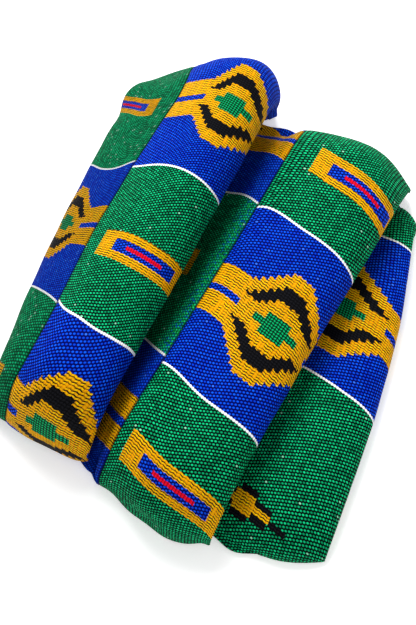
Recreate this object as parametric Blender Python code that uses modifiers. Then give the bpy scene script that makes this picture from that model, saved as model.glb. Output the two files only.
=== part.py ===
"""Folded kente cloth: eight woven strips sewn edge to edge, folded back and forth.

The sheet is drawn as one section (X across the folds, Z up) that is carried along Y.
Metres, +Z up, origin at the middle of the bounding box on the surface it rests on.
"""
import math

import bmesh
import bpy

# Driving sizes, in metres
STRIP_WIDTH = 0.100        # one woven strip, selvedge to selvedge
SHEET_THICKNESS = 0.002
SEAM_GAP = 0.0005          # the strips are butted and sewn, and their solids stay this far apart
LAYER_PITCH = 0.0028       # one flat layer to the next, centre to centre
END_ROUND = 0.038          # how far the rounded end of a roll reaches along Y
END_POWER = 2.3            # fullness of that rounding: 2 is an ellipse, more is squarer
HALF_SPAN = 0.120          # distance from the middle where the far and near columns hold
USUAL_ENDS = (-0.120, 0.140)   # y of the near and far ends, where the columns are read
MM = 0.001

# Height of the sheet's centre where layers lie flat, from the surface up
GROUND = SHEET_THICKNESS / 2
LEVEL = [GROUND + LAYER_PITCH * count for count in range(4)]

# The turns of the section, in the order in which the sheet passes them.
# x and z: place at the far end, the middle and the near end, mm.
# heading: direction of travel, degrees, 0 towards +X and 90 up, one value or far, middle and near.
# pull: length of the tangents before and after, mm.
# level: layer that the turn flattens to at the ends. lag: mm by which it flattens early.
# ends: y of the far and near ends, mm.
TURNS = {
    "tail hem":     dict(x=(0, 0, 0), z=(1, 1, 1), heading=180, pull=(30, 30), level=0, lag=8,
                         ends=(160, -109)),
    "tail":         dict(x=(-108, -94, -76), z=(1, 1, 1), heading=180, pull=(16, 14), level=0, lag=8,
                         ends=(126, -109)),
    "left edge":    dict(x=(-122, -108, -89.5), z=(20, 22, 20), heading=90, pull=(10, 14), level=1.5, lag=0,
                         ends=(135, -111)),
    "left seam":    dict(x=(-85, -79.5, -67.5), z=(49, 51, 47), heading=(40, 38, 36), pull=(13, 12),
                         level=3, lag=0, ends=(157, -113)),
    "left crest":   dict(x=(-53, -47, -42), z=(66, 67, 60), heading=0, pull=(15, 14), level=3, lag=0,
                         ends=(171, -114)),
    "fold 1":       dict(x=(-31, -23, -18), z=(46, 46, 42), heading=-92, pull=(11, 6), level=2.5, lag=0,
                         ends=(158, -108)),
    "tuck 1":       dict(x=(-42, -35, -30), z=(32, 32, 30), heading=180, pull=(5, 10), level=2, lag=8,
                         ends=(157, -108)),
    "hump 1":       dict(x=(-69, -64, -57), z=(36, 40, 38), heading=180, pull=(12, 14), level=2, lag=8,
                         ends=(166, -113)),
    "landing 1":    dict(x=(-99, -89, -74), z=(6.6, 6.6, 6.6), heading=180, pull=(14, 3), level=2, lag=8,
                         ends=(140, -109)),
    "fold 2":       dict(x=(-105, -95, -80), z=(5.2, 5.2, 5.2), heading=-90, pull=(2, 2), level=1.5, lag=11,
                         ends=(136, -108)),
    "leaving 1":    dict(x=(-99, -89, -74), z=(3.8, 3.8, 3.8), heading=0, pull=(3, 22), level=1, lag=11,
                         ends=(138, -108)),
    "hump 2":       dict(x=(-66, -61, -54), z=(26, 30, 29), heading=0, pull=(11, 11), level=1, lag=11,
                         ends=(160, -110)),
    "dip":          dict(x=(-43, -37, -32), z=(12, 12, 10), heading=0, pull=(9, 7), level=1, lag=11,
                         ends=(148, -108)),
    "valley":       dict(x=(-20, -17, -14), z=(25, 27, 29), heading=(40, 42, 46), pull=(6, 5), level=0.7,
                         lag=8, ends=(150, -111)),
    "middle seam":  dict(x=(-8, -5, -5), z=(33, 37, 39), heading=(38, 36, 28), pull=(5, 14), level=0,
                         lag=0, ends=(153, -115)),
    "middle crest": dict(x=(34, 33, 30), z=(51, 50, 48), heading=0, pull=(15, 17), level=0, lag=0,
                         ends=(156, -129)),
    "fold 3":       dict(x=(68, 66, 68), z=(30, 30, 31), heading=-94, pull=(15, 9), level=2.5, lag=0,
                         ends=(141, -121)),
    "tuck 3":       dict(x=(50, 48, 49), z=(17, 17, 17), heading=-168, pull=(10, 14), level=2, lag=8,
                         ends=(136, -119)),
    "landing 3":    dict(x=(-11, -1, 7), z=(6.6, 6.6, 6.6), heading=180, pull=(20, 3), level=2, lag=8,
                         ends=(140, -110)),
    "fold 4":       dict(x=(-17, -7, 1), z=(5.2, 5.2, 5.2), heading=-90, pull=(2, 2), level=1.5, lag=8,
                         ends=(137, -109)),
    "leaving 3":    dict(x=(-11, -1, 7), z=(3.8, 3.8, 3.8), heading=0, pull=(3, 18), level=1, lag=8,
                         ends=(138, -110)),
    "rise":         dict(x=(56, 54, 56), z=(7, 9, 9), heading=14, pull=(14, 10), level=1, lag=6,
                         ends=(130, -113)),
    "right crest":  dict(x=(76, 89, 99), z=(15, 20, 21), heading=0, pull=(8, 12), level=0, lag=0,
                         ends=(127, -108)),
    "fold 5":       dict(x=(86, 114, 129), z=(8, 9, 9), heading=-90, pull=(7, 4), level=0, lag=0,
                         ends=(118, -95)),
    "floor":        dict(x=(74, 102, 117), z=(1, 1, 1), heading=180, pull=(6, 20), level=0, lag=8,
                         ends=(115, -94)),
    "hem":          dict(x=(-35, -35, -35), z=(1, 1, 1), heading=180, pull=(20, 20), level=0, lag=8,
                         ends=(132, -110)),
}

# Seams from left to right along the section: a turn that carries a seam, and how many strip
# widths along the sheet from it the seam lies
SEAMS = [("left seam", -1), ("left seam", 0), ("left seam", 1), ("middle seam", -1), ("middle seam", 0),
         ("middle seam", 1), ("middle seam", 2), ("middle seam", 3), ("middle seam", 4)]

# Soft dents pushed into the outer layer: centre, how far they reach and the push, mm
DENTS = [
    dict(centre=(-112, 104, 24), reach=15, push=(3.0, 0, -3.0)),
    dict(centre=(-100, 132, 32), reach=12, push=(1.5, 0, -3.5)),
    dict(centre=(-78, -106, 22), reach=16, push=(1.5, 2.5, 0)),
    dict(centre=(60, 128, 34), reach=18, push=(-1.0, -2.0, -2.0)),
]

STEP_LENGTH = 0.018        # longest facet along the section
SELVEDGE = 0.0015          # a short facet at each seam, so that neighbouring edges lie in line
STEP_TURN = math.radians(26)   # most that the section turns in one facet
SPAN_SAMPLES = 24          # samples between two turns when the section is measured
END_STEPS = (0, 0.30, 0.55, 0.76, 0.91, 1)   # share of full height at the stations of a rounded end
BODY_STEPS = 7             # spaces along Y between the two rounded ends

COLOURS = {"green": (0.0, 0.27, 0.12, 1), "blue": (0.01, 0.055, 0.62, 1)}


def between(values, along):
    """Quadratic through the far (along = 1), middle (0) and near (-1) values."""
    far, middle, near = values
    return middle + (far - near) / 2 * along + ((far + near) / 2 - middle) * along ** 2


def level_height(level):
    """Height of a layer, where a half lies midway between two of them."""
    low = int(level)
    high = min(low + 1, len(LEVEL) - 1)
    return LEVEL[low] + (LEVEL[high] - LEVEL[low]) * (level - low)


def bezier(points, share):
    """Point on a cubic curve with four control values."""
    rest = 1 - share
    weights = (rest ** 3, 3 * rest ** 2 * share, 3 * rest * share ** 2, share ** 3)
    return sum(weight * value for weight, value in zip(weights, points))


def section(along):
    """The section at one place along Y: samples of the sheet's path, and each turn's distance along it."""
    turns = []
    for name, turn in TURNS.items():
        heading = turn["heading"]
        if isinstance(heading, tuple):
            heading = between(heading, along)
        angle = math.radians(heading)
        turns.append(dict(
            name=name, x=between(turn["x"], along) * MM, z=between(turn["z"], along) * MM,
            direction=(math.cos(angle), math.sin(angle)),
            pull=[value * MM for value in turn["pull"]],
            settings=(level_height(turn["level"]), turn["lag"] * MM,
                      turn["ends"][0] * MM, turn["ends"][1] * MM)))
    samples, marks, travelled = [], {}, 0.0
    for first, last in zip(turns, turns[1:]):
        marks[first["name"]] = travelled
        curve = {}
        for axis, index in (("x", 0), ("z", 1)):
            curve[axis] = (first[axis], first[axis] + first["pull"][1] * first["direction"][index],
                           last[axis] - last["pull"][0] * last["direction"][index], last[axis])
        for count in range(SPAN_SAMPLES + 1):
            share = count / SPAN_SAMPLES
            x = bezier(curve["x"], share)
            z = max(bezier(curve["z"], share), GROUND)
            if samples:
                travelled += math.hypot(x - samples[-1]["x"], z - samples[-1]["z"])
            ease = share * share * (3 - 2 * share)
            settings = [a + (b - a) * ease for a, b in zip(first["settings"], last["settings"])]
            samples.append(dict(s=travelled, x=x, z=z, settings=settings))
        marks[last["name"]] = travelled
    return samples, marks


def read_section(samples, distance):
    """The sample at a distance along the sheet."""
    low, high = 0, len(samples) - 1
    while high - low > 1:
        middle = (low + high) // 2
        if samples[middle]["s"] <= distance:
            low = middle
        else:
            high = middle
    first, last = samples[low], samples[high]
    span = last["s"] - first["s"]
    share = (distance - first["s"]) / span if span > 0 else 0.0
    settings = [a + (b - a) * share for a, b in zip(first["settings"], last["settings"])]
    x = first["x"] + (last["x"] - first["x"]) * share
    z = first["z"] + (last["z"] - first["z"]) * share
    return x, z, settings


def strip_stops(marks, number):
    """Distances along the sheet of a strip's two seams and of the turns between them."""
    stops = []
    for name, widths in (SEAMS[number], SEAMS[number + 1]):
        stops.append(marks[name] + widths * STRIP_WIDTH)
    start, end = stops
    inner, outer = start + SELVEDGE, end - SELVEDGE
    turns = [name for name, distance in marks.items() if inner + 0.0005 < distance < outer - 0.0005]
    return [start, inner] + [marks[name] for name in turns] + [outer, end], turns


def fullness(distance):
    """Share of a roll's full height at a distance from its end."""
    share = min(max(distance / END_ROUND, 0.0), 1.0)
    return (1 - (1 - share) ** END_POWER) ** (1 / END_POWER)


def stations():
    """Places along Y: from the near end, along the body, or from the far end."""
    reach = [END_ROUND * (1 - (1 - share ** END_POWER) ** (1 / END_POWER)) for share in END_STEPS]
    near = [("near", distance) for distance in reach]
    body = [("body", count / BODY_STEPS) for count in range(1, BODY_STEPS)]
    far = [("far", distance) for distance in reversed(reach)]
    return near + body + far


def place_along(kind, value):
    """Where a station stands between the near end (-1) and the far end (1) of the turns' columns."""
    near_end, far_end = USUAL_ENDS
    if kind == "near":
        y = near_end + value
    elif kind == "far":
        y = far_end - value
    else:
        y = near_end + END_ROUND + (far_end - near_end - 2 * END_ROUND) * value
    return min(max(y / HALF_SPAN, -1.05), 1.12)


def dented(point):
    """A point with the soft dents applied."""
    moved = list(point)
    for dent in DENTS:
        away = math.dist(point, [value * MM for value in dent["centre"]]) / (dent["reach"] * MM)
        weight = math.exp(-away * away)
        for axis in range(3):
            moved[axis] += dent["push"][axis] * MM * weight
    moved[2] = max(moved[2], GROUND)
    return moved


def surface_point(kind, value, x, z, settings):
    """A point of the sheet's middle surface at one station."""
    flat, lag, far_end, near_end = settings
    if kind == "near":
        y, distance = near_end + value, value
    elif kind == "far":
        y, distance = far_end - value, value
    else:
        y = near_end + END_ROUND + (far_end - near_end - 2 * END_ROUND) * value
        distance = min(y - near_end, far_end - y)
    height = flat + (z - flat) * fullness(max(distance - lag, 0.0))
    return dented((x, y, height))


def seam_point(kind, value, samples, distance, side):
    """A strip's edge at a seam: on the chord across it, so that the two edges meet squarely."""
    before = surface_point(kind, value, *read_section(samples, distance - SELVEDGE))
    after = surface_point(kind, value, *read_section(samples, distance + SELVEDGE))
    share = 0.5 + side * SEAM_GAP / 2 / math.dist(before, after)
    return [a + (b - a) * share for a, b in zip(before, after)]


def column_steps(samples, marks, number):
    """Shares of each stretch between a strip's stops, fine where the section turns."""
    stops, turns = strip_stops(marks, number)
    steps = []
    for first, last in zip(stops, stops[1:]):
        turned, previous = 0.0, None
        for count in range(13):
            x, z, _ = read_section(samples, first + (last - first) * count / 12)
            if count:
                heading = math.atan2(z - old_z, x - old_x)
                if previous is not None:
                    change = heading - previous
                    turned += abs(math.atan2(math.sin(change), math.cos(change)))
                previous = heading
            old_x, old_z = x, z
        steps.append(max(1, math.ceil((last - first) / STEP_LENGTH + turned / STEP_TURN - 0.3)))
    return turns, steps


def strip_rows(number, sections):
    """Rows of surface points of one strip, a row for each station along Y."""
    middle = sections[len(sections) // 2]
    turns, steps = column_steps(middle[2], middle[3], number)
    rows = []
    for kind, value, samples, marks in sections:
        stops, here = strip_stops(marks, number)
        if here != turns:
            raise ValueError(f"strip {number + 1}: its seams pass {here} and not {turns}")
        row = []
        for first, last, count in zip(stops, stops[1:], steps):
            for step in range(count):
                row.append(first + (last - first) * step / count)
        points = [surface_point(kind, value, *read_section(samples, distance)) for distance in row[1:]]
        start = seam_point(kind, value, samples, stops[0], 1)
        end = seam_point(kind, value, samples, stops[-1], -1)
        rows.append([start] + points + [end])
    return rows


def sheet_object(name, rows, centre, collection):
    """A grid moved onto the surface points, with a Solidify modifier."""
    columns = len(rows[0])
    mesh = bpy.data.meshes.new(name)
    bm = bmesh.new()
    bmesh.ops.create_grid(bm, x_segments=columns - 1, y_segments=len(rows) - 1, size=1.0)
    for vert in bm.verts:
        column = round((vert.co.x + 1) / 2 * (columns - 1))
        row = round((vert.co.y + 1) / 2 * (len(rows) - 1))
        vert.co = [value - middle for value, middle in zip(rows[row][column], centre)]
    bmesh.ops.recalc_face_normals(bm, faces=bm.faces)
    bm.to_mesh(mesh)
    bm.free()
    sheet = bpy.data.objects.new(name, mesh)
    collection.objects.link(sheet)
    solidify = sheet.modifiers.new("thickness", "SOLIDIFY")
    solidify.thickness = SHEET_THICKNESS
    solidify.offset = 0
    mesh.shade_smooth()
    return sheet


def cloth_material(name, colour):
    """Woven rayon: a soft, slightly glossy surface."""
    material = bpy.data.materials.new(name)
    material.use_nodes = True
    shader = material.node_tree.nodes["Principled BSDF"]
    shader.inputs["Base Color"].default_value = COLOURS[colour]
    shader.inputs["Roughness"].default_value = 0.75
    shader.inputs["Metallic"].default_value = 0.0
    material.diffuse_color = COLOURS[colour]
    return material


def main():
    for item in list(bpy.data.objects):
        bpy.data.objects.remove(item, do_unlink=True)
    collection = bpy.data.collections.new("folded kente cloth")
    bpy.context.scene.collection.children.link(collection)

    sections = [(kind, value, *section(place_along(kind, value))) for kind, value in stations()]
    strips = [strip_rows(number, sections) for number in range(len(SEAMS) - 1)]

    points = [point for rows in strips for row in rows for point in row]
    lows = [min(point[axis] for point in points) for axis in range(3)]
    highs = [max(point[axis] for point in points) for axis in range(3)]
    centre = ((lows[0] + highs[0]) / 2, (lows[1] + highs[1]) / 2, 0.0)

    for number, rows in enumerate(strips):
        name = f"strip_{number + 1}"
        sheet = sheet_object(name, rows, centre, collection)
        sheet.data.materials.append(cloth_material(name, "green" if number % 2 else "blue"))


main()
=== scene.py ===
# Folded kente cloth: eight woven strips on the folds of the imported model
import math
import bpy
import numpy as np
from mathutils import Matrix, Vector


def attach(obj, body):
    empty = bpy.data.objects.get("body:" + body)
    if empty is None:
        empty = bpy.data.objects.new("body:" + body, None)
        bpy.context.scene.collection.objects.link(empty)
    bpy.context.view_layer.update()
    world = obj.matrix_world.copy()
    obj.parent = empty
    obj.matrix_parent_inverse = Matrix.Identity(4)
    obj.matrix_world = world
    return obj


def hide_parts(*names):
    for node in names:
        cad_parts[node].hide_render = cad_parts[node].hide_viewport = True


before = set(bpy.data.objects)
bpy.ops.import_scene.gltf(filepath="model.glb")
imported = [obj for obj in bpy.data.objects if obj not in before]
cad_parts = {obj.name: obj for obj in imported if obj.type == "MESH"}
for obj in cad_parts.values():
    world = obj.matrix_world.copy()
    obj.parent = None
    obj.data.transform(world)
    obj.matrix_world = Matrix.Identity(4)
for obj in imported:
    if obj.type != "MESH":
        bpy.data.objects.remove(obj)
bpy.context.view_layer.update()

print("frame loaded")

# Camera: turned 29 degrees to the right of the rolls, looking down by 64 degrees
view = dict(turn=29.0, drop=64.0, distance=0.830, target=(-0.0028, -0.0210, 0.025), lens=79.68)


def placeCamera():
    turn, drop = math.radians(view["turn"]), math.radians(view["drop"])
    ahead = Vector((-math.sin(turn) * math.cos(drop), math.cos(turn) * math.cos(drop), -math.sin(drop)))
    right = Vector((math.cos(turn), math.sin(turn), 0))
    up = right.cross(ahead)
    data = bpy.data.cameras.new("camera")
    data.lens = view["lens"]
    data.sensor_width = 36
    data.sensor_fit = "AUTO"
    data.clip_start = 0.01
    camera = bpy.data.objects.new("camera", data)
    bpy.context.scene.collection.objects.link(camera)
    place = Vector(view["target"]) - ahead * view["distance"]
    camera.matrix_world = Matrix.Translation(place) @ Matrix((right, up, -ahead)).transposed().to_4x4()
    bpy.context.scene.camera = camera


placeCamera()
bpy.context.scene.view_settings.view_transform = "Standard"
print("camera placed")

# Sizes in metres unless a name says otherwise
cloth = dict(stripWidth=0.100, thickness=0.0017, seamGap=0.0005, layerPitch=0.0028, solidThickness=0.002,
             endRound=0.038, endPower=2.3, halfSpan=0.120, usualEnds=(-0.120, 0.140),
             middle=(0.00281, 0.02100), columns=52, endRows=16, bodyRows=88, curveSamples=48)
mm = 0.001
ground = cloth["solidThickness"] / 2
layerHeights = [ground + cloth["layerPitch"] * count for count in range(4)]

# The turns of the folded section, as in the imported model. x, z and a listed heading: far, middle and near values in
# mm and degrees. pull: handles before and after, mm. ends: far and near end of the cloth there, mm.
turns = {
    "tailHem": dict(x=(0, 0, 0), z=(1, 1, 1), heading=180, pull=(30, 30), level=0, lag=8, ends=(160, -109)),
    "tail": dict(x=(-108, -94, -76), z=(1, 1, 1), heading=180, pull=(16, 14), level=0, lag=8, ends=(126, -109)),
    "leftEdge": dict(x=(-122, -108, -89.5), z=(20, 22, 20), heading=90, pull=(10, 14),
                   level=1.5, lag=0, ends=(135, -111)),
    "leftSeam": dict(x=(-85, -79.5, -67.5), z=(49, 51, 47), heading=(40, 38, 36), pull=(13, 12),
                   level=3, lag=0, ends=(157, -113)),
    "leftCrest": dict(x=(-53, -47, -42), z=(66, 67, 60), heading=0, pull=(15, 14),
                   level=3, lag=0, ends=(171, -114)),
    "fold1": dict(x=(-31, -23, -18), z=(46, 46, 42), heading=-92, pull=(11, 6),
                   level=2.5, lag=0, ends=(158, -108)),
    "tuck1": dict(x=(-42, -35, -30), z=(32, 32, 30), heading=180, pull=(5, 10),
                   level=2, lag=8, ends=(157, -108)),
    "hump1": dict(x=(-69, -64, -57), z=(36, 40, 38), heading=180, pull=(12, 14),
                   level=2, lag=8, ends=(166, -113)),
    "landing1": dict(x=(-99, -89, -74), z=(6.6, 6.6, 6.6), heading=180, pull=(14, 3),
                   level=2, lag=8, ends=(140, -109)),
    "fold2": dict(x=(-105, -95, -80), z=(5.2, 5.2, 5.2), heading=-90, pull=(2, 2),
                   level=1.5, lag=11, ends=(136, -108)),
    "leaving1": dict(x=(-99, -89, -74), z=(3.8, 3.8, 3.8), heading=0, pull=(3, 22),
                   level=1, lag=11, ends=(138, -108)),
    "hump2": dict(x=(-66, -61, -54), z=(26, 30, 29), heading=0, pull=(11, 11),
                   level=1, lag=11, ends=(160, -110)),
    "dip": dict(x=(-43, -37, -32), z=(12, 12, 10), heading=0, pull=(9, 7), level=1, lag=11, ends=(148, -108)),
    "valley": dict(x=(-20, -17, -14), z=(25, 27, 29), heading=(40, 42, 46), pull=(6, 5),
                   level=0.7, lag=8, ends=(150, -111)),
    "middleSeam": dict(x=(-8, -5, -5), z=(33, 37, 39), heading=(38, 36, 28), pull=(5, 14),
                   level=0, lag=0, ends=(153, -115)),
    "middleCrest": dict(x=(34, 33, 30), z=(51, 50, 48), heading=0, pull=(15, 17),
                   level=0, lag=0, ends=(156, -129)),
    "fold3": dict(x=(68, 66, 68), z=(30, 30, 31), heading=-94, pull=(15, 9),
                   level=2.5, lag=0, ends=(141, -121)),
    "tuck3": dict(x=(50, 48, 49), z=(17, 17, 17), heading=-168, pull=(10, 14),
                   level=2, lag=8, ends=(136, -119)),
    "landing3": dict(x=(-11, -1, 7), z=(6.6, 6.6, 6.6), heading=180, pull=(20, 3),
                   level=2, lag=8, ends=(140, -110)),
    "fold4": dict(x=(-17, -7, 1), z=(5.2, 5.2, 5.2), heading=-90, pull=(2, 2),
                   level=1.5, lag=8, ends=(137, -109)),
    "leaving3": dict(x=(-11, -1, 7), z=(3.8, 3.8, 3.8), heading=0, pull=(3, 18),
                   level=1, lag=8, ends=(138, -110)),
    "rise": dict(x=(56, 54, 56), z=(7, 9, 9), heading=14, pull=(14, 10), level=1, lag=6, ends=(130, -113)),
    "rightCrest": dict(x=(76, 89, 99), z=(15, 20, 21), heading=0, pull=(8, 12),
                   level=0, lag=0, ends=(127, -108)),
    "fold5": dict(x=(86, 114, 129), z=(8, 9, 9), heading=-90, pull=(7, 4), level=0, lag=0, ends=(118, -95)),
    "floor": dict(x=(74, 102, 117), z=(1, 1, 1), heading=180, pull=(6, 20), level=0, lag=8, ends=(115, -94)),
    "hem": dict(x=(-35, -35, -35), z=(1, 1, 1), heading=180, pull=(20, 20), level=0, lag=8, ends=(132, -110)),
}
# Seams: a turn, and how many strip widths along the sheet from it
seams = [("leftSeam", -1), ("leftSeam", 0), ("leftSeam", 1), ("middleSeam", -1), ("middleSeam", 0),
         ("middleSeam", 1), ("middleSeam", 2), ("middleSeam", 3), ("middleSeam", 4)]

# How far the left seam wanders along the sheet, in mm, from the near end (-1) to the far end (1)
wander = [(-1.05, -8), (-0.92, -5.5), (-0.78, -0.5), (-0.64, 1.2), (-0.45, 1.6), (-0.27, 0.6), (-0.06, -1), (0.2, 0),
          (0.34, 0), (0.46, 1), (0.61, 1.5), (0.8, 2.2), (0.9, 0), (1.0, -4), (1.12, -7)]

# Soft dents: centre, reach and push in mm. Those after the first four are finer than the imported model's.
dents = [
    dict(centre=(-112, 104, 24), reach=15, push=(3.0, 0, -3.0)),
    dict(centre=(-100, 132, 32), reach=12, push=(1.5, 0, -3.5)),
    dict(centre=(-78, -106, 22), reach=16, push=(1.5, 2.5, 0)),
    dict(centre=(60, 128, 34), reach=18, push=(-1.0, -2.0, -2.0)),
    dict(centre=(-115, 134, 21), reach=12, push=(0, -4.0, 0)),
    dict(centre=(-124, 112, 18), reach=14, push=(-4.0, -1.0, 0)),
    dict(centre=(-82, 146, 50), reach=14, push=(-1.0, 2.4, 0)),
    dict(centre=(-59, 158, 52), reach=14, push=(0.8, -2.4, 0)),
    dict(centre=(-34, 158, 13), reach=13, push=(-3.0, -3.5, 0)),
    dict(centre=(-22, 148, 5), reach=9, push=(-1.0, 3.0, 0)),
    dict(centre=(31, 138, 38), reach=25, push=(1.2, -2.2, 0)),
    dict(centre=(69, 131, 5), reach=12, push=(-3.0, 9.0, 0)),
    dict(centre=(92, 78, 7), reach=30, push=(3.2, 0.5, 0)),
    dict(centre=(102, 44, 6), reach=25, push=(1.3, 0, 0)),
    dict(centre=(122, -50, 6), reach=45, push=(-2.6, -1.0, 0)),
    dict(centre=(-97, -79, 20), reach=20, push=(1.6, 0.6, 0)),
    dict(centre=(-63, -119, 15), reach=18, push=(-1.0, -2.8, 0)),
    dict(centre=(-14, -122, 8), reach=16, push=(-3.0, -6.5, 0)),
    dict(centre=(26, -134, 8), reach=14, push=(2.0, 6.0, 0)),
    dict(centre=(65, -121, 9), reach=8, push=(-1.5, 3.0, 0)),
    dict(centre=(80, -116, 2), reach=13, push=(2.0, -6.5, 0)),
]


def quadratic(values, along):
    far, middle, near = values
    return middle + (far - near) / 2 * along + ((far + near) / 2 - middle) * along ** 2


def layerHeight(level):
    return float(np.interp(level, range(4), layerHeights))


def sectionAt(along):
    stops = []
    for name, turn in turns.items():
        heading = turn["heading"]
        if isinstance(heading, tuple):
            heading = quadratic(heading, along)
        angle = math.radians(heading)
        stops.append(dict(
            name=name, place=(quadratic(turn["x"], along) * mm, quadratic(turn["z"], along) * mm),
            way=(math.cos(angle), math.sin(angle)), pull=[value * mm for value in turn["pull"]],
            facts=[layerHeight(turn["level"]), turn["lag"] * mm, turn["ends"][0] * mm, turn["ends"][1] * mm]))
    share = np.linspace(0, 1, cloth["curveSamples"] + 1)
    rest = 1 - share
    weights = (rest ** 3, 3 * rest ** 2 * share, 3 * rest * share ** 2, share ** 3)
    ease = share * share * (3 - 2 * share)
    pieces, marks, travelled = [], {}, 0.0
    for first, last in zip(stops, stops[1:]):
        marks[first["name"]] = travelled
        place = []
        for axis in range(2):
            controls = (first["place"][axis], first["place"][axis] + first["pull"][1] * first["way"][axis],
                        last["place"][axis] - last["pull"][0] * last["way"][axis], last["place"][axis])
            place.append(sum(weight * value for weight, value in zip(weights, controls)))
        place[1] = np.maximum(place[1], ground)
        steps = np.hypot(np.diff(place[0]), np.diff(place[1]))
        distance = travelled + np.concatenate([[0.0], np.cumsum(steps)])
        facts = [a + (b - a) * ease for a, b in zip(first["facts"], last["facts"])]
        pieces.append(np.array([distance, place[0], place[1], *facts]))
        travelled = float(distance[-1])
        marks[last["name"]] = travelled
    return np.concatenate(pieces, axis=1), marks


def fullness(distance):
    share = np.clip(distance / cloth["endRound"], 0, 1)
    return (1 - (1 - share) ** cloth["endPower"]) ** (1 / cloth["endPower"])


def rowPlaces():
    reach = [cloth["endRound"] * (count / cloth["endRows"]) ** 1.7 for count in range(cloth["endRows"] + 1)]
    near = [("near", value) for value in reach]
    body = [("body", count / cloth["bodyRows"]) for count in range(1, cloth["bodyRows"])]
    return near + body + [("far", value) for value in reversed(reach)]


def placeAlong(kind, value):
    nearEnd, farEnd = cloth["usualEnds"]
    y = {"near": nearEnd + value, "far": farEnd - value,
         "body": nearEnd + cloth["endRound"] + (farEnd - nearEnd - 2 * cloth["endRound"]) * value}[kind]
    return min(max(y / cloth["halfSpan"], -1.05), 1.12)


def rowPoints(kind, value, section, distances):
    x, z, flat, lag, farEnd, nearEnd = [np.interp(distances, section[0], line) for line in section[1:]]
    if kind == "near":
        y, inset = nearEnd + value, value
    elif kind == "far":
        y, inset = farEnd - value, value
    else:
        y = nearEnd + cloth["endRound"] + (farEnd - nearEnd - 2 * cloth["endRound"]) * value
        inset = np.minimum(y - nearEnd, farEnd - y)
    height = flat + (z - flat) * fullness(np.maximum(inset - lag, 0.0))
    points = np.stack([x, y * np.ones_like(x), height], axis=1)
    start = points.copy()
    for dent in dents:
        away = np.linalg.norm(start - np.array(dent["centre"]) * mm, axis=1) / (dent["reach"] * mm)
        points += np.exp(-away ** 2)[:, None] * np.array(dent["push"]) * mm
    points[:, 2] = np.maximum(points[:, 2], ground)
    return points


sections = [(kind, value, *sectionAt(placeAlong(kind, value))) for kind, value in rowPlaces()]


def stripGrid(number):
    grid = []
    for kind, value, section, marks in sections:
        edges = [marks[name] + widths * cloth["stripWidth"] for name, widths in seams[number:number + 2]]
        if number < 2:  # the first two strips share the wandering seam
            edges[1 - number] += float(throughTable(wander, np.array([placeAlong(kind, value)]))[0]) * mm
        start, end = edges[0] + cloth["seamGap"] / 2, edges[1] - cloth["seamGap"] / 2
        grid.append(rowPoints(kind, value, section, np.linspace(start, end, cloth["columns"] + 1)))
    grid = np.array(grid)
    grid -= np.array([cloth["middle"][0], cloth["middle"][1], 0])
    return grid


def alongLengths(grid):
    steps = np.linalg.norm(np.diff(grid, axis=0), axis=2)
    lengths = np.concatenate([np.zeros((1, grid.shape[1])), np.cumsum(steps, axis=0)])
    return lengths - lengths[len(grid) // 2]


def throughTable(table, places):
    knots = np.array([pair[0] for pair in table])
    values = np.array([pair[1] for pair in table])
    slopes = np.gradient(values, knots)
    index = np.clip(np.searchsorted(knots, places) - 1, 0, len(knots) - 2)
    width = knots[index + 1] - knots[index]
    t = (places - knots[index]) / width
    return ((2 * t ** 3 - 3 * t ** 2 + 1) * values[index] + (t ** 3 - 2 * t ** 2 + t) * width * slopes[index]
            + (3 * t ** 2 - 2 * t ** 3) * values[index + 1] + (t ** 3 - t ** 2) * width * slopes[index + 1])


# Weave, in mm: a rib is one column of dots across the strip, a pick one row along it, a float one loose thread of a
# motif. dotAcross and dotAlong are shares of a rib and of a pick.
# The two seam entries set painted shade along the strips' long edges: the span where it fades out, in hundredths of a
# strip's width, and the darkest share of light left there.
weave = dict(rib=1.95, pick=2.1, float=1.7, wave=0.5, tooth=1.9, block=118.0, lineHalf=0.86, lineScallop=0.3,
             dotAcross=0.47, dotAlong=0.34, dotSoftness=0.7, slant=0.16, bump=0.35, bumpDistance=0.0012,
             seamPaintedShadeReach=(0.3, 1.1), seamPaintedShade=0.4, roughness=0.72, floatGloss=0.16, specular=0.03)

# Screen colours, 0 to 255
# The pale green and pale blue are painted glints, standing in for the sparkle of the shiny yarn.
paints = dict(
    greenDot=(18, 214, 138), greenDim=(2, 138, 86), greenGap=(0, 6, 6), greenPaintedGlint=(170, 230, 200),
    blueDot=(14, 96, 255), blueDim=(4, 58, 212), blueGap=(0, 0, 88), bluePaintedGlint=(90, 150, 255),
    yellow=(255, 208, 4), yellowDeep=(228, 134, 0), yellowGap=(24, 14, 14),
    heart=(6, 190, 112), speck=(30, 224, 90), black=(24, 24, 29), blackGap=(4, 4, 6),
    white=(255, 255, 255), whiteGap=(196, 198, 210), red=(228, 10, 36), redGap=(120, 4, 30))

# Motif sizes in mm
eye = dict(top=35.0, step=3.2, flat=8.1, stepWidth=3.9, body=27.6, blackTop=25.5, blackLow=16.0,
           blackStep=3.0, blackLeast=7.6, tail=17.0, stripe=2.3, heartWidth=8.2, heartHeight=7.2,
           armWidth=15.6, armHeight=2.4)
bar = dict(halfLength=37.0, halfHeight=10.0, blueLength=25.0, blueHeight=4.4, redLength=15.2, redHeight=1.25)
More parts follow.
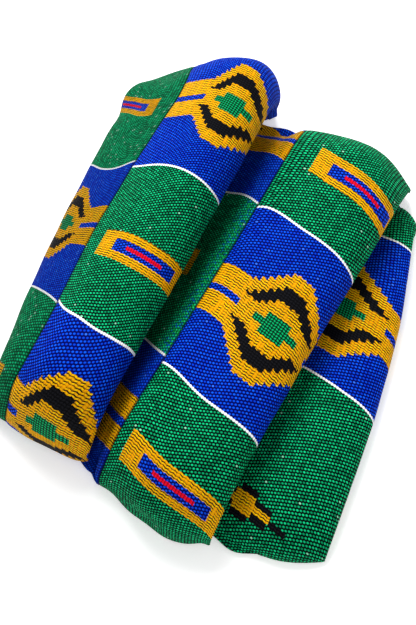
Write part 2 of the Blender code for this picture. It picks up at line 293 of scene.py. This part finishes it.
# Stepped arrow on the right lobe: each block's left, right, far and near edge from the arrow's middle, mm
arrowYellow = [dict(left=-14.3, right=-0.6, far=-7.0, near=5.0), dict(left=-22.0, right=-14.3, far=-2.7, near=1.3),
               dict(left=-0.6, right=11.4, far=-2.7, near=1.3)]
arrowBlack = [dict(left=-12.3, right=0.0, far=-10.6, near=-7.0), dict(left=-0.6, right=11.4, far=-6.2, near=-2.7),
              dict(left=11.4, right=22.8, far=-1.1, near=2.3), dict(left=-22.0, right=-14.3, far=-6.4, near=-2.7),
              dict(left=-22.0, right=-14.3, far=1.3, near=4.6), dict(left=-0.6, right=10.5, far=1.3, near=6.0),
              dict(left=-14.3, right=-2.0, far=5.0, near=8.8)]


def paint(name):
    values = [channel / 255 for channel in paints[name]]
    return (*[value / 12.92 if value <= 0.04045 else ((value + 0.055) / 1.055) ** 2.4 for value in values], 1.0)


class Flow:
    def __init__(self, tree, socket):
        self.tree = tree
        self.socket = socket

    def math(self, operation, *others):
        node = self.tree.nodes.new("ShaderNodeMath")
        node.operation = operation
        for slot, value in enumerate((self, *others)):
            if isinstance(value, Flow):
                self.tree.links.new(value.socket, node.inputs[slot])
            else:
                node.inputs[slot].default_value = value
        return Flow(self.tree, node.outputs[0])

    def __add__(self, other): return self.math("ADD", other)
    def __radd__(self, other): return self.math("ADD", other)
    def __sub__(self, other): return self.math("SUBTRACT", other)
    def __rsub__(self, other): return (self * -1.0) + other
    def __mul__(self, other): return self.math("MULTIPLY", other)
    def __rmul__(self, other): return self.math("MULTIPLY", other)
    def __truediv__(self, other): return self.math("DIVIDE", other)
    def __abs__(self): return self.math("ABSOLUTE")
    def __lt__(self, other): return self.math("LESS_THAN", other)
    def __gt__(self, other): return self.math("GREATER_THAN", other)

    def floor(self): return self.math("FLOOR")
    def ceil(self): return self.math("CEIL")
    def part(self): return self.math("FRACT")
    def most(self, other): return self.math("MINIMUM", other)
    def least(self, other): return self.math("MAXIMUM", other)
    def within(self, low, high): return (self > low) * (self < high)

    def ramp(self, low, high):
        return ((self - low) / (high - low)).least(0.0).most(1.0)


class Board:
    def __init__(self, tree):
        self.tree = tree

    def add(self, kind, inputs=None, output=0, **settings):
        node = self.tree.nodes.new(kind)
        for name, value in settings.items():
            setattr(node, name, value)
        self.feed(node, inputs or {})
        return Flow(self.tree, node.outputs[output])

    def feed(self, node, inputs):
        for name, value in inputs.items():
            if isinstance(value, Flow):
                self.tree.links.new(value.socket, node.inputs[name])
            else:
                node.inputs[name].default_value = value

    def blend(self, share, first, second, way="MIX"):
        return self.add("ShaderNodeMix", {0: share, 6: first, 7: second}, 2, data_type="RGBA", blend_type=way)

    def vector(self, x, y, z):
        return self.add("ShaderNodeCombineXYZ", {"X": x, "Y": y, "Z": z})

    def noise(self, place, scale, detail):
        return self.add("ShaderNodeTexNoise", {"Vector": place, "Scale": scale, "Detail": detail})

    def chance(self, x, y, z):
        return self.add("ShaderNodeTexWhiteNoise", {"Vector": self.vector(x, y, z)}, noise_dimensions="3D")

    def place(self, uvMap, output):
        uv = self.add("ShaderNodeUVMap", uv_map=uvMap)
        return self.add("ShaderNodeSeparateXYZ", {"Vector": uv}, output)


def blocksOf(across, along, blocks):
    total = None
    for block in blocks:
        here = across.within(block["left"], block["right"]) * along.within(block["far"], block["near"])
        total = here if total is None else total.least(here)
    return total


def clothMaterial(strip):
    material = bpy.data.materials.new(strip["name"] + "Weave")
    material.use_nodes = True
    tree = material.node_tree
    board = Board(tree)
    number = float(strip["number"])
    across = board.place("cloth", 0) * 100.0
    along = board.place("cloth", 1) * 100.0
    edgePlace = board.place("edges", 0)
    edgeAway = (edgePlace * 100.0).most((1.0 - edgePlace) * 100.0)

    # Thread grid
    ribs = across / weave["rib"]
    rib = ribs.floor()
    inRib = ribs - rib
    odd = (rib * 0.5).part() * 2.0
    picks = along / weave["pick"] + odd * 0.5 + (inRib - 0.5) * weave["slant"]
    inPick = picks.part()
    dotAcross, dotAlong = (inRib - 0.5) / weave["dotAcross"], (inPick - 0.5) / weave["dotAlong"]
    dotMask = (1.0 - dotAcross * dotAcross - dotAlong * dotAlong).ramp(0.0, weave["dotSoftness"])
    triangle = abs((ribs * 0.5).part() - 0.5) * 2.0 - 0.5
    waved = along + triangle * weave["wave"]
    toothed = along + (board.chance(rib, 0.5, number) - 0.5) * weave["tooth"] * 0.6 + triangle * weave["tooth"] * 0.3
    floats = waved / weave["float"]
    crest = 1.0 - abs(floats.part() * 2.0 - 1.0)
    floatMask = crest.ramp(0.2, 0.72)
    ribEdge = abs(inRib - 0.5) * 2.0
    column = ribEdge.ramp(1.0, 0.5)
    chance = board.chance(rib, picks.floor(), number)
    floatChance = board.chance(rib, floats.floor(), number + 40.0)
    cloud = board.noise(board.vector(across * 0.02, along * 0.02, number), 2.6, 3.0)
    streak = board.noise(board.vector(rib * 0.71, along * 0.012, number * 3.0), 1.0, 1.0)
    tone = cloud * 0.5 + streak * 0.5

    # Blocks between the white weft lines
    length = weave["block"]
    far = along < 0.0
    near = along > length
    middle = 1.0 - far - near
    isBlue = middle if strip["middleBlue"] else far + near
    lineAway = abs(along).most(abs(along - length))
    isLine = lineAway < weave["lineHalf"] - ribEdge * weave["lineScallop"]

    # Motif coordinates, from the motif's middle
    side = abs(across - strip["middle"])
    centre = far * strip["centres"][0] + middle * strip["centres"][1] + near * strip["centres"][2]
    rise = abs(waved - centre)
    bodyRise = abs(toothed - centre)
    step = ((side - eye["flat"]) / eye["stepWidth"]).ceil().least(0.0)
    inBody = side < eye["body"]
    inTail = (1.0 - inBody) * (rise < eye["tail"])
    eyeYellow = (inBody * (bodyRise < eye["top"] - step * eye["step"])).least(inTail)
    eyeStripe = (1.0 - inBody) * (rise < eye["stripe"])
    eyeBlack = inBody * (bodyRise < eye["blackTop"] - step * eye["step"])
    eyeBlack = eyeBlack * (bodyRise > (eye["blackLow"] - step * eye["blackStep"]).least(eye["blackLeast"]))
    heart = (side < eye["heartWidth"]) * (rise < eye["heartHeight"])
    eyeGreen = heart.least((side < eye["armWidth"]) * (rise < eye["armHeight"]))
    barYellow = (side < bar["halfLength"]) * (rise < bar["halfHeight"])
    barBlue = (side < bar["blueLength"]) * (rise < bar["blueHeight"])
    barRed = (side < bar["redLength"]) * (rise < bar["redHeight"])
    onBlue = isBlue
    onGreen = 1.0 - isBlue
    for name, region in (("far", far), ("near", near)):
        if name in strip["plain"]:
            onGreen = onGreen * (1.0 - region)
            onBlue = onBlue * (1.0 - region)
    yellow = onBlue * eyeYellow + onGreen * barYellow
    blue = onBlue * eyeStripe + onGreen * barBlue
    black = onBlue * eyeBlack
    green = onBlue * eyeGreen
    red = onGreen * barRed
    if "arrow" in strip:
        arrowAcross, arrowAlong = across - strip["arrow"][0], waved - strip["arrow"][1]
        yellow = yellow.least(blocksOf(arrowAcross, arrowAlong, arrowYellow))
        black = black.least(blocksOf(arrowAcross, arrowAlong, arrowBlack))

    # Ground: dots of thread over dark gaps, with a few pale dots as painted glints of the shiny yarn, and the valley's
    # small specks
    paintedGlint = chance > strip["paintedGlintRarity"]
    greenDot = board.blend(chance, paint("greenDim"), paint("greenDot"))
    greenDot = board.blend(paintedGlint * 0.6, greenDot, paint("greenPaintedGlint"))
    blueDot = board.blend(chance, paint("blueDim"), paint("blueDot"))
    blueDot = board.blend(paintedGlint * 0.3, blueDot, paint("bluePaintedGlint"))
    threads = dotMask.least(strip["soft"])
    greenGround = board.blend(threads, paint("greenGap"), greenDot)
    blueGround = board.blend(threads, paint("blueGap"), blueDot)
    if "specks" in strip:
        speck = board.noise(board.vector(across * 0.8, along * 0.8, 0.5), 1.0, 2.0)
        zone = across.ramp(strip["specks"], strip["specks"] + 9.0) * 0.6
        greenGround = board.blend(zone * speck.ramp(0.58, 0.66), greenGround, paint("speck"))
        greenGround = board.blend(zone * speck.ramp(0.44, 0.36), greenGround, paint("blueDim"))

    # Motifs, line and rim over the ground
    yellowThread = board.blend(column * (floatChance * 0.65 + 0.35), paint("yellowDeep"), paint("yellow"))
    floatGap = crest.ramp(0.62, 0.28) * floatChance.ramp(0.0, 0.45)
    bead = ribEdge.ramp(0.92, 0.3) * crest.ramp(0.15, 0.85)
    layers = [(isBlue, blueGround),
              (yellow, board.blend(floatGap, yellowThread, paint("yellowGap"))),
              (blue, blueGround),
              (black, board.blend(column * crest, paint("blackGap"), paint("black"))),
              (green, board.blend(bead, paint("greenGap"), paint("heart"))),
              (red, board.blend(column, paint("redGap"), paint("red")))]
    if "rim" in strip:
        layers.append((along > strip["rim"], greenGround))
    layers.append((isLine, board.blend(column, paint("whiteGap"), paint("white"))))
    colour = greenGround
    for mask, layer in layers:
        colour = board.blend(mask, colour, layer)
    # Painted shade: the colour is darkened within about a millimetre of each strip's long edges, and by the strip's
    # shade value; tone is the cloth's own random variation.
    seamPaintedShade = edgeAway.ramp(*weave["seamPaintedShadeReach"]) * (1.0 - weave["seamPaintedShade"]) + weave["seamPaintedShade"]
    light = (tone * 0.5 + 0.75) * seamPaintedShade * strip["shade"]
    shade = board.add("ShaderNodeCombineColor", {"Red": light, "Green": light, "Blue": light})

    # Relief and gloss
    raised = yellow.least(black).least(green).least(red).least(blue).least(isLine)
    relief = dotMask * (1.0 - raised) + raised * (floatMask * 0.7 + column * 0.3)
    bump = board.add("ShaderNodeBump", {"Strength": weave["bump"], "Distance": weave["bumpDistance"], "Height": relief})
    board.feed(tree.nodes["Principled BSDF"], {
        "Base Color": board.blend(1.0, colour, shade, "MULTIPLY"), "Normal": bump,
        "Roughness": weave["roughness"] - yellow * weave["floatGloss"] + tone * 0.1,
        "Specular IOR Level": weave["specular"]})
    return material


# One row per strip. across: where the woven pattern lies on it. Each entry is a distance along the sheet from its
# middle row, in mm, and places on the strip, 0 at its left seam and 1 at its right, with the pattern's place there.
# farLine and nearLine: the white lines' distance from the middle row, in mm, at places across.
# centres: middle of the far, middle and near motif, mm from the far line. stretch: beyond the far and the near line.
# curl: the pattern closes up past its first value by its second. rim: green past it. specks: small specks past it.
# middle: the motifs' place across, mm. glints: painted glints for the shiny yarn's sparkle, rarer near 1. soft: least
# strength of the dots. shade: darkening; painted shade in the valley's crease, and a darker colour for the left flank's
# finer weave.
evenAcross = [(0, [(0, 0), (0.5, 0.5), (1, 1)])]
usual = dict(stretch=(1, 1), plain=(), middle=50.0, paintedGlintRarity=0.993, soft=0.0, shade=1.0)
strips = [
    dict(name="leftFlank", node="strip_1", middleBlue=True, stretch=(1.35, 1), centres=(-70, 56, 178),
         paintedGlintRarity=0.97, soft=0.15, shade=0.6,
         across=[(-110, [(0, 0), (0.84, 0.87), (1, 1)]),
                 (-10, [(0, 0), (0.62, 0.33), (0.765, 0.575), (0.86, 0.765), (1, 1)]),
                 (85, [(0, 0), (0.58, 0.38), (0.742, 0.65), (0.863, 0.86), (1, 1)])],
         farLine=[(0, 58), (0.5, 47), (0.65, 39.5), (0.78, 32), (0.86, 30.5), (1, 36)],
         nearLine=[(0, -36), (0.5, -44), (0.65, -50.6), (0.83, -60.8), (1, -70.3)]),
    dict(name="leftRoll", node="strip_2", middleBlue=False, stretch=(1.12, 0.81), curl=(181, 0.6), rim=206,
         centres=(-62, 64, 176.3),
         across=[(-150, [(0, 0.12), (0.1, 0.224), (0.31, 0.5), (0.62, 0.776), (1, 1)]),
                 (-133, [(0, 0.1), (0.113, 0.224), (0.34, 0.5), (0.66, 0.776), (1, 1)]),
                 (-113, [(0, 0.05), (0.15, 0.224), (0.415, 0.5), (0.66, 0.776), (1, 1)]),
                 (-32, [(0, 0), (0.122, 0.135), (0.317, 0.355), (0.43, 0.5), (0.542, 0.645), (0.66, 0.76), (1, 1)]),
                 (85, [(0, 0), (0.24, 0.23), (0.35, 0.418), (0.49, 0.582), (0.585, 0.665), (1, 1)])],
         farLine=[(0, 31), (0.2, 29), (0.4, 29), (0.6, 31), (1, 38)],
         nearLine=[(0, -68.3), (0.1, -74.9), (0.21, -80.5), (0.36, -85.6), (0.47, -84.6), (0.6, -80.6), (1, -71)]),
    dict(name="hiddenLayer", node="strip_3", middleBlue=True, centres=(-57, 59, 175),
         across=evenAcross, farLine=[(0, 50), (0.5, 56), (1, 70)], nearLine=[(0, -66), (0.5, -60), (1, -50)]),
    dict(name="valley", node="strip_4", middleBlue=False, centres=(-53, 57, 166),
         # This strip's shade of 0.72 is painted shade: the valley lies in the crease beside the left roll.
         middle=37.0, specks=86, soft=0.12, shade=0.72,
         across=evenAcross,
         farLine=[(0, 75), (0.7, 64), (0.8, 63.5), (0.9, 61), (1, 57)],
         nearLine=[(0, -44), (0.7, -50), (0.88, -57), (1, -61)]),
    dict(name="middleRoll", node="strip_5", middleBlue=True, centres=(-45.5, 61, 170),
         across=[(-124, [(0, 0.04), (0.083, 0.13), (0.223, 0.25), (0.455, 0.5), (0.7, 0.75), (1, 1)]),
                 (-15, [(0, 0), (0.255, 0.224), (0.52, 0.5), (0.795, 0.776), (1, 1)]),
                 (94, [(0, 0), (0.227, 0.13), (0.35, 0.25), (0.457, 0.348), (0.733, 0.652), (0.873, 0.76), (1, 1)])],
         farLine=[(0, 54), (0.1, 54.7), (0.22, 54), (0.44, 50.2), (0.63, 48.8), (0.8, 47), (1, 48)],
         nearLine=[(0, -65.5), (0.15, -68.1), (0.3, -71.4), (0.5, -74), (0.75, -73.5), (1, -71)]),
    dict(name="hiddenTuck", node="strip_6", middleBlue=False, centres=(-57, 59, 175),
         across=evenAcross, farLine=[(0, 50), (0.5, 75), (1, 105)], nearLine=[(0, -70), (0.5, -40), (1, -6)]),
    dict(name="rightLobe", node="strip_7", middleBlue=True, plain=("far", "near"),
         centres=(-57, 65, 175), arrow=(43.0, 212.5),
         across=[(-60, [(0, 0), (0.5, 0.5), (1, 1)]),
                 (39, [(0, 0), (0.53, 0.5), (0.68, 0.652), (0.823, 0.776), (1, 1)])],
         farLine=[(0, 112), (0.5, 104), (0.75, 98), (0.82, 97), (0.88, 95), (1, 91)],
         nearLine=[(0, -1), (0.4, -7.8), (0.6, -13), (0.8, -17), (1, -24)]),
    dict(name="floorLayer", node="strip_8", middleBlue=False, centres=(-57, 59, 175),
         across=evenAcross, farLine=[(0, 90), (0.5, 88), (1, 86)], nearLine=[(0, -26), (0.5, -28), (1, -30)]),
]
strips = [{**usual, **strip, "number": number + 1} for number, strip in enumerate(strips)]


def patternAcross(stations, places, lengths):
    values = np.array([throughTable(table, places) for where, table in stations])
    if len(stations) == 1:
        return np.repeat(values, len(lengths), axis=0)
    where = [station[0] for station in stations]
    held = np.clip(lengths, where[0], where[-1])
    columns = [throughTable(list(zip(where, values[:, column])), held[:, column]) for column in range(len(places))]
    return np.stack(columns, axis=1)


def patternPlaces(strip, grid):
    lengths = alongLengths(grid) / mm
    places = np.linspace(0, 1, lengths.shape[1])
    across = patternAcross(strip["across"], places, lengths)
    farLine = throughTable(strip["farLine"], places)[None, :]
    nearLine = throughTable(strip["nearLine"], places)[None, :]
    block = weave["block"]
    farStretch, nearStretch = strip["stretch"]
    along = block * (farLine - lengths) / (farLine - nearLine)
    along = np.where(lengths > farLine, (farLine - lengths) * farStretch, along)
    along = np.where(lengths < nearLine, block + (nearLine - lengths) * nearStretch, along)
    if "curl" in strip:
        start, share = strip["curl"]
        along = along + share * np.maximum(along - start, 0)
    return np.stack([across, along / 100], axis=2)


# Relief of hand-laid cloth and its seams, in metres
handling = dict(unevenness=0.00022, dip=0.0005, dipReach=0.0022)


def unevenness(grid, number):
    # Small soft waves of hand-laid cloth, none at the seams or the hems
    x, y = grid[:, :, 0] / mm, grid[:, :, 1] / mm
    wave = np.sin(x * 0.21 + y * 0.083 + number) + 0.7 * np.sin(x * 0.12 - y * 0.17 + number * 2.1)
    rows, columns = x.shape
    fade = np.sin(np.linspace(0, math.pi, columns))[None, :] * np.sin(np.linspace(0, math.pi, rows))[:, None]
    return wave * fade ** 0.5 * handling["unevenness"]


def normalsOf(grid):
    across = np.gradient(grid, axis=1)
    along = np.gradient(grid, axis=0)
    normals = np.cross(across, along)
    return normals / np.maximum(np.linalg.norm(normals, axis=2, keepdims=True), 1e-9)


def seamDip(columns):
    places = np.linspace(0, 1, columns) * cloth["stripWidth"]
    away = np.minimum(places, cloth["stripWidth"] - places)
    return -handling["dip"] * np.exp(-(away / handling["dipReach"]) ** 2)


def clothPiece(strip):
    grid = stripGrid(strip["number"] - 1)
    places = patternPlaces(strip, grid)
    rows, columns = grid.shape[:2]
    push = unevenness(grid, strip["number"]) + seamDip(columns)[None, :]
    normals = normalsOf(grid)
    grid = grid + normals * push[:, :, None]
    grid[:, :, 2] = np.maximum(grid[:, :, 2], ground)
    corners = [(row * columns + column, row * columns + column + 1,
                (row + 1) * columns + column + 1, (row + 1) * columns + column)
               for row in range(rows - 1) for column in range(columns - 1)]
    mesh = bpy.data.meshes.new(strip["name"])
    mesh.from_pydata(grid.reshape(-1, 3).tolist(), [], corners)
    layer = mesh.uv_layers.new(name="cloth")
    flat = places.reshape(-1, 2)
    indices = np.array([loop.vertex_index for loop in mesh.loops])
    layer.data.foreach_set("uv", flat[indices].ravel())
    edges = np.stack(np.meshgrid(np.linspace(0, 1, columns), np.linspace(0, 1, rows)), axis=2).reshape(-1, 2)
    mesh.uv_layers.new(name="edges").data.foreach_set("uv", edges[indices].ravel())
    mesh.shade_smooth()
    piece = bpy.data.objects.new(strip["name"], mesh)
    bpy.context.scene.collection.objects.link(piece)
    solidify = piece.modifiers.new("thickness", "SOLIDIFY")
    solidify.thickness = cloth["thickness"]
    solidify.offset = 0
    piece.data.materials.append(clothMaterial(strip))
    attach(piece, "root")
    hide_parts(strip["node"])
    return piece


for strip in strips:
    clothPiece(strip)
    print("strip made:", strip["name"])


# Floor, light and surroundings
stage = dict(floorSize=3.0, floorColour=(0.93, 0.93, 0.935, 1), floorGlow=0.37, floorRoughness=0.9, floorSpecular=0.1,
             keyPower=15.0, keySize=0.6, keyPlace=(-0.50, 0.55, 0.90),
             fillPower=3.0, fillSize=1.2, fillPlace=(0.7, -0.5, 0.9), worldColour=(1, 1, 1, 1), worldStrength=0.5)


def makeFloor():
    mesh = bpy.data.meshes.new("floor")
    half = stage["floorSize"] / 2
    mesh.from_pydata([(-half, -half, 0), (half, -half, 0), (half, half, 0), (-half, half, 0)], [], [(0, 1, 2, 3)])
    floor = bpy.data.objects.new("floor", mesh)
    bpy.context.scene.collection.objects.link(floor)
    material = bpy.data.materials.new("floor")
    material.use_nodes = True
    shader = material.node_tree.nodes["Principled BSDF"]
    shader.inputs["Base Color"].default_value = stage["floorColour"]
    shader.inputs["Roughness"].default_value = stage["floorRoughness"]
    shader.inputs["Specular IOR Level"].default_value = stage["floorSpecular"]
    shader.inputs["Emission Color"].default_value = (1, 1, 1, 1)
    shader.inputs["Emission Strength"].default_value = stage["floorGlow"]
    mesh.materials.append(material)


def makeLight(name, power, size, place):
    data = bpy.data.lights.new(name, "AREA")
    data.energy = power
    data.size = size
    light = bpy.data.objects.new(name, data)
    bpy.context.scene.collection.objects.link(light)
    light.location = place
    light.rotation_euler = (Vector((0, 0, 0)) - Vector(place)).to_track_quat("-Z", "Y").to_euler()


makeFloor()
makeLight("key", stage["keyPower"], stage["keySize"], stage["keyPlace"])
makeLight("fill", stage["fillPower"], stage["fillSize"], stage["fillPlace"])
world = bpy.data.worlds.new("studio")
world.use_nodes = True
world.node_tree.nodes["Background"].inputs["Color"].default_value = stage["worldColour"]
world.node_tree.nodes["Background"].inputs["Strength"].default_value = stage["worldStrength"]
bpy.context.scene.world = world
print("floor and light made")
